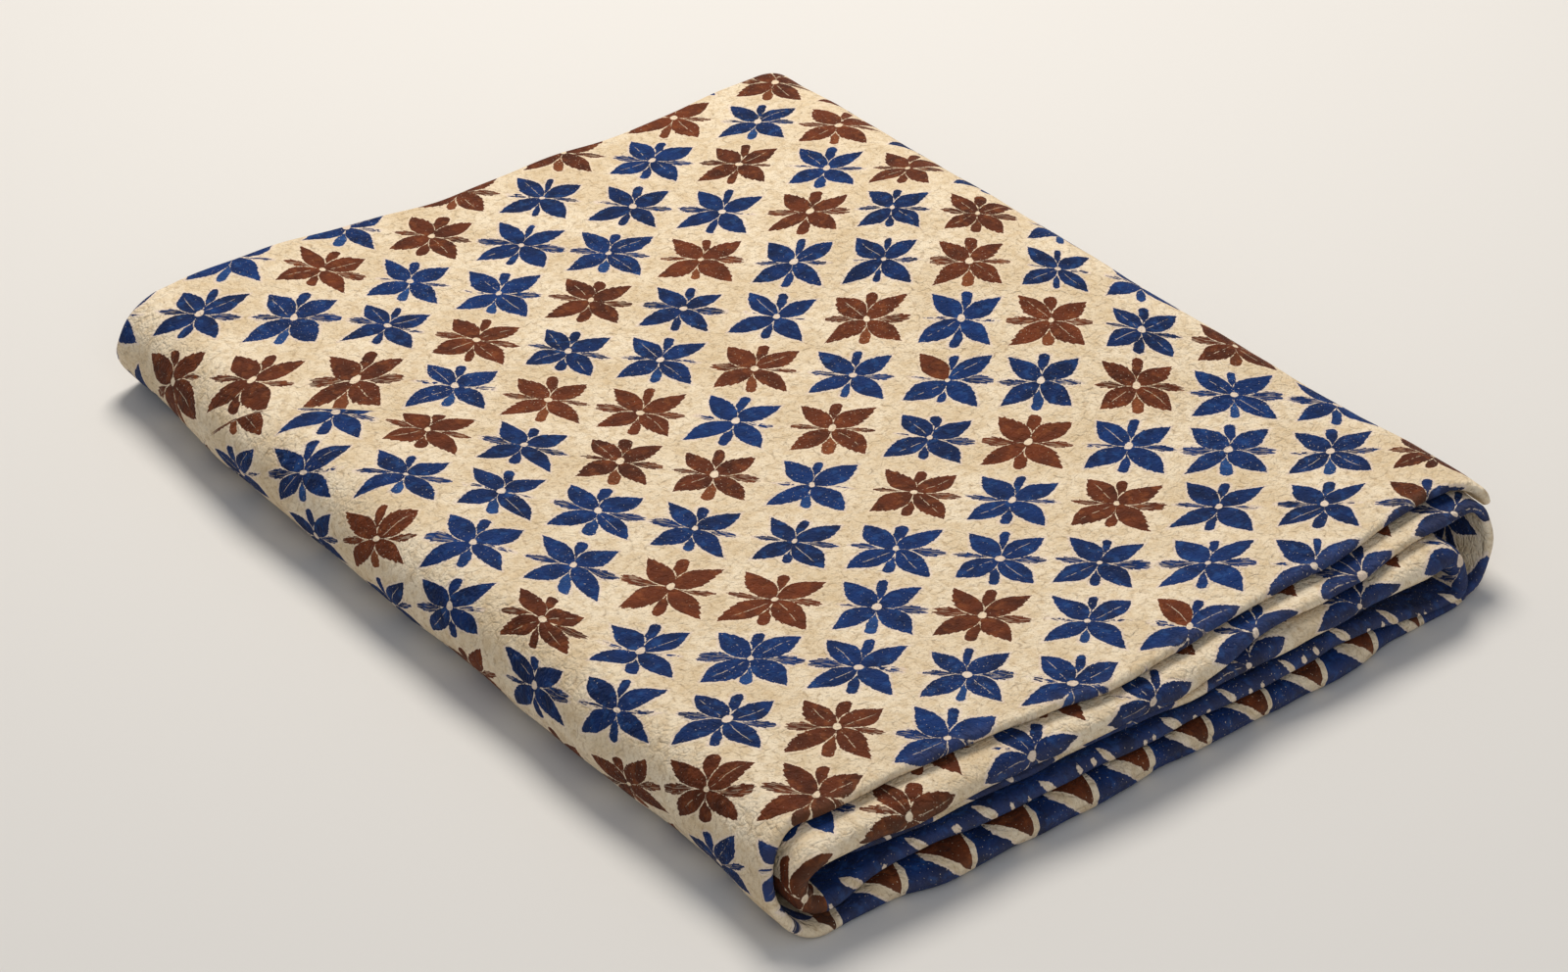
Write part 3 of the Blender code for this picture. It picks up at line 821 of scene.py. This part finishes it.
def cloth_material():
    material = bpy.data.materials.new("batik_cotton")
    material.use_nodes = True
    tree = material.node_tree
    Number.tree = tree
    shader = tree.nodes["Principled BSDF"]

    star_at = attribute_at("star_at")
    cloth_at = attribute_at("cloth_at")
    i, j, from_fold = split(star_at)
    u, v, fold_wear = split(cloth_at)
    leaf_zone, zigzag_zone, turned = split(attribute_at("border_at"))
    leaf_run, zigzag_run, _ = split(attribute_at("repeat_at"))
    turned = above(turned, 0.5)
    past_join = clamped((u + v - JOIN["line"]) / JOIN["soft"] + 0.5)
    for start, stop, steps in JOIN["steps"]:
        j = j + past_join * rising(-u, start, stop) * steps

    def spot(du, dv):
        return vector(u + du, v + dv)

    # ground: cream cotton with a fine pebbled crinkle, with painted shade in its cracks, where the relief is
    # lowest
    flat = vector(u, v)
    stir = split(noise(spot(90.0, 33.0), 0.45, 0.0, out="Color"))
    pebble = pebbles(vector(u + (stir[0] - 0.5) * 2.2, v + (stir[1] - 0.5) * 2.2), 0.80)
    mottle = noise(spot(11.0, 5.0), 0.05, 2.0, 0.6)
    patch = noise(spot(3.0, 60.0), 0.38, 2.0, 0.55)
    cut = noise(spot(-20.0, 9.0), 0.60, 1.0)
    fleck = rising(noise(spot(70.0, -30.0), 1.9, 1.0, 0.6), 0.60, 0.69)
    # painted shade: the cracks between the pebbles, low in the relief, are darkened in colour
    crack_shade = rising(pebble, 0.50, 0.74) * rising(cut, 0.44, 0.60)
    ground = colour(rising(mottle, 0.3, 0.7), CREAM, CREAM_PALE)
    ground = colour(rising(patch, 0.40, 0.68) * 0.42, ground, CREAM_DEEP)
    ground = colour(clamped(crack_shade * 0.30 + fleck * 0.24), ground, FLECK_AND_CRACK_SHADE)

    ragged = (noise(spot(5.0, -8.0), 0.55, 1.0) - 0.5) * 0.022 + (noise(spot(-44.0, 2.0), 2.3, 0.0) - 0.5) * 0.012
    dye, russet, shape, faded, r, q = star_print(i, j, turned, ragged, cut)

    # specks where the wax ran or the dye has rubbed off
    edge_of = 0.80 - q[0] * 0.075
    speck = rising(noise(spot(23.0, 41.0), 1.7, 1.0, 0.7), edge_of, edge_of + 0.045)
    rubbed = clamped(speck * 0.7 + fold_wear * 0.05)

    # leaf border on the fourth pass's front fold: blue, with slanting undyed
    # leaves and pairs of small pale spots
    cell = whole(leaf_run + 0.5)
    w = chance(vector(cell, 3.0, 21.0))
    across = (leaf_run - cell) * BORDER_PITCH + (w[0] - 0.5) * 3.0 - from_fold * (0.50 + 0.35 * w[1])
    rise = from_fold - 0.4 + w[2] * 1.6
    gap = (0.9 + w[1] * 0.9) * (1.0 - rise * rise / 7.5) - size(across)
    o = chance(vector(whole(leaf_run), 5.0, 27.0))
    spot_x = size((part(leaf_run) - 0.40 - o[0] * 0.25) * BORDER_PITCH) - o[2] * 2.6
    spots = 0.45 + o[1] * 0.3 - power(spot_x * spot_x + power(from_fold + 1.6 * (o[1] - 0.4), 2.0) * 0.6, 0.5)
    leaf_shape = -high(gap, spots) / STEP + ragged * 1.4
    leaf_russet = above(o[0], 0.88)

    # zigzag border on the bottom pass's front fold: blue, with undyed strokes
    # like ticks, broad on the left and thin on the right, russet inside them
    c = part(zigzag_run + 0.55)
    z = chance(vector(whole(zigzag_run + 0.55), 8.0, 33.0))
    far = high((0.55 - c) / 0.54, (c - 0.55) / 0.16)
    line = 3.2 - far * (9.0 + z[0] * 1.5)
    away = from_fold - line
    arm = blend(above(c, 0.55), 1.6 + z[1] * 0.8, 2.6 + z[1] * 0.6)
    zigzag_shape = high((size(away) - arm) / STEP, (far - 1.0) * 0.2)
    big_leaf = 3.0 - size((c - 0.5) * BORDER_PITCH + from_fold * 0.5) - (1.0 - above(z[2], 0.84)) * 99.0
    zigzag_shape = low(zigzag_shape, -big_leaf / STEP) + ragged * 1.4
    zigzag_russet = above(-away, 0.0) * above(1.0, far)

    in_leaf, in_zigzag = above(leaf_zone, 0.5), above(zigzag_zone, 0.5)
    shape = blend(in_zigzag, blend(in_leaf, shape, leaf_shape), zigzag_shape)
    russet = blend(in_zigzag, blend(in_leaf, russet, leaf_russet), zigzag_russet)
    bordered = high(in_leaf, in_zigzag)
    dye = blend(bordered, dye, clamped(shape / SEAM + 0.5))
    faded = faded * (1.0 - bordered)

    cloudy = noise(spot(-7.0, 33.0), 0.16, 2.0, 0.6)
    shade = clamped(cloudy * 1.7 - 0.40 + (r[2] - 0.5) * 0.5)
    worn = clamped(rising(patch, 0.50, 0.76) * 0.38 + faded * 0.45)
    blue = colour(worn, colour(shade, BLUE_DEEP, BLUE), BLUE_WORN)
    red = colour(worn, colour(shade, RUSSET_DEEP, RUSSET), RUSSET_WORN)
    dyed = colour(russet, blue, red)
    pooled = (1.0 - rising(shape, 0.0, 0.022)) * 0.22
    dyed = colour(pooled, dyed, colour(russet, BLUE_DEEP, RUSSET_DEEP))
    dye = dye * (1.0 - rubbed * 0.8)

    # the ground is paler and a little stained close beside the dye
    halo = rising(shape, -0.040, -0.008) * (1.0 - dye) * 0.5
    ground = colour(halo, ground, colour(russet, HALO_BLUE, HALO_RUSSET))
    base = colour(dye, colour(rubbed * 0.35, ground, WAX), dyed)
    feed(shader.inputs["Base Color"], base)

    # relief: the pebbled crinkle, soft unevenness and the weave
    relief = pebble * pebble * -0.34 + noise(spot(40.0, 0.0), 1.5, 1.0, 0.6) * 0.26
    relief = relief + noise(spot(0.0, 77.0), 0.30, 1.0) * 0.45 + wave(u * 13.9) * wave(v * 14.6) * 0.012
    bump = tree.nodes.new("ShaderNodeBump")
    bump.inputs["Strength"].default_value = 1.0
    bump.inputs["Distance"].default_value = 0.001
    feed(bump.inputs["Height"], relief)
    feed(shader.inputs["Normal"], Number(bump.outputs["Normal"]))
    feed(shader.inputs["Roughness"], 0.90 - dye * 0.10 + (patch - 0.5) * 0.08)
    shader.inputs["Specular IOR Level"].default_value = 0.14
    shader.inputs["Sheen Weight"].default_value = 0.03
    shader.inputs["Sheen Roughness"].default_value = 0.5
    return material


# ---- surroundings --------------------------------------------------------
def make_floor():
    mesh = bpy.data.meshes.new("floor")
    h = 3.0
    mesh.from_pydata([(-h, -h, 0.0), (h, -h, 0.0), (h, h, 0.0), (-h, h, 0.0)], [], [(0, 1, 2, 3)])
    floor = bpy.data.objects.new("floor", mesh)
    bpy.context.scene.collection.objects.link(floor)
    material = bpy.data.materials.new("floor_paint")
    material.use_nodes = True
    shader = material.node_tree.nodes["Principled BSDF"]
    shader.inputs["Base Color"].default_value = tint("d6d4d0")
    shader.inputs["Roughness"].default_value = 0.75
    shader.inputs["Specular IOR Level"].default_value = 0.3
    mesh.materials.append(material)
    return floor


def aim(thing, at):
    thing.rotation_euler = (Vector(at) - thing.location).to_track_quat("-Z", "Y").to_euler()


def make_light(name, where, at, width, power_w, tone):
    data = bpy.data.lights.new(name, "AREA")
    data.shape = "DISK"
    data.size = width
    data.energy = power_w
    data.color = tone
    light = bpy.data.objects.new(name, data)
    light.location = where
    bpy.context.scene.collection.objects.link(light)
    bpy.context.view_layer.update()
    aim(light, at)
    return light


def make_camera():
    data = bpy.data.cameras.new("camera")
    data.lens = 101.687
    data.sensor_width = 36.0
    data.clip_start = 0.01
    camera = bpy.data.objects.new("camera", data)
    camera.location = (-0.53379, -0.73620, 0.61627)
    camera.rotation_euler = tuple(math.radians(a) for a in (55.881, 1.448, -36.861))
    bpy.context.scene.collection.objects.link(camera)
    bpy.context.scene.camera = camera


cloth = make_cloth()
cloth.data.materials.append(cloth_material())
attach(cloth, "root")
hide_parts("cloth")
make_floor()

make_light("key", (0.30, 0.46, 0.95), (0.0, -0.02, 0.0), 0.50, 11.5, (1.0, 0.94, 0.86))
make_light("fill", (-0.55, -1.0, 0.75), (0.0, -0.05, 0.0), 1.1, 3.4, (0.93, 0.96, 1.0))
world = bpy.data.worlds.new("studio")
world.use_nodes = True
world.node_tree.nodes["Background"].inputs["Color"].default_value = (0.92, 0.94, 1.0, 1.0)
world.node_tree.nodes["Background"].inputs["Strength"].default_value = 0.32
bpy.context.scene.world = world
bpy.context.scene.view_settings.view_transform = "Standard"
make_camera()
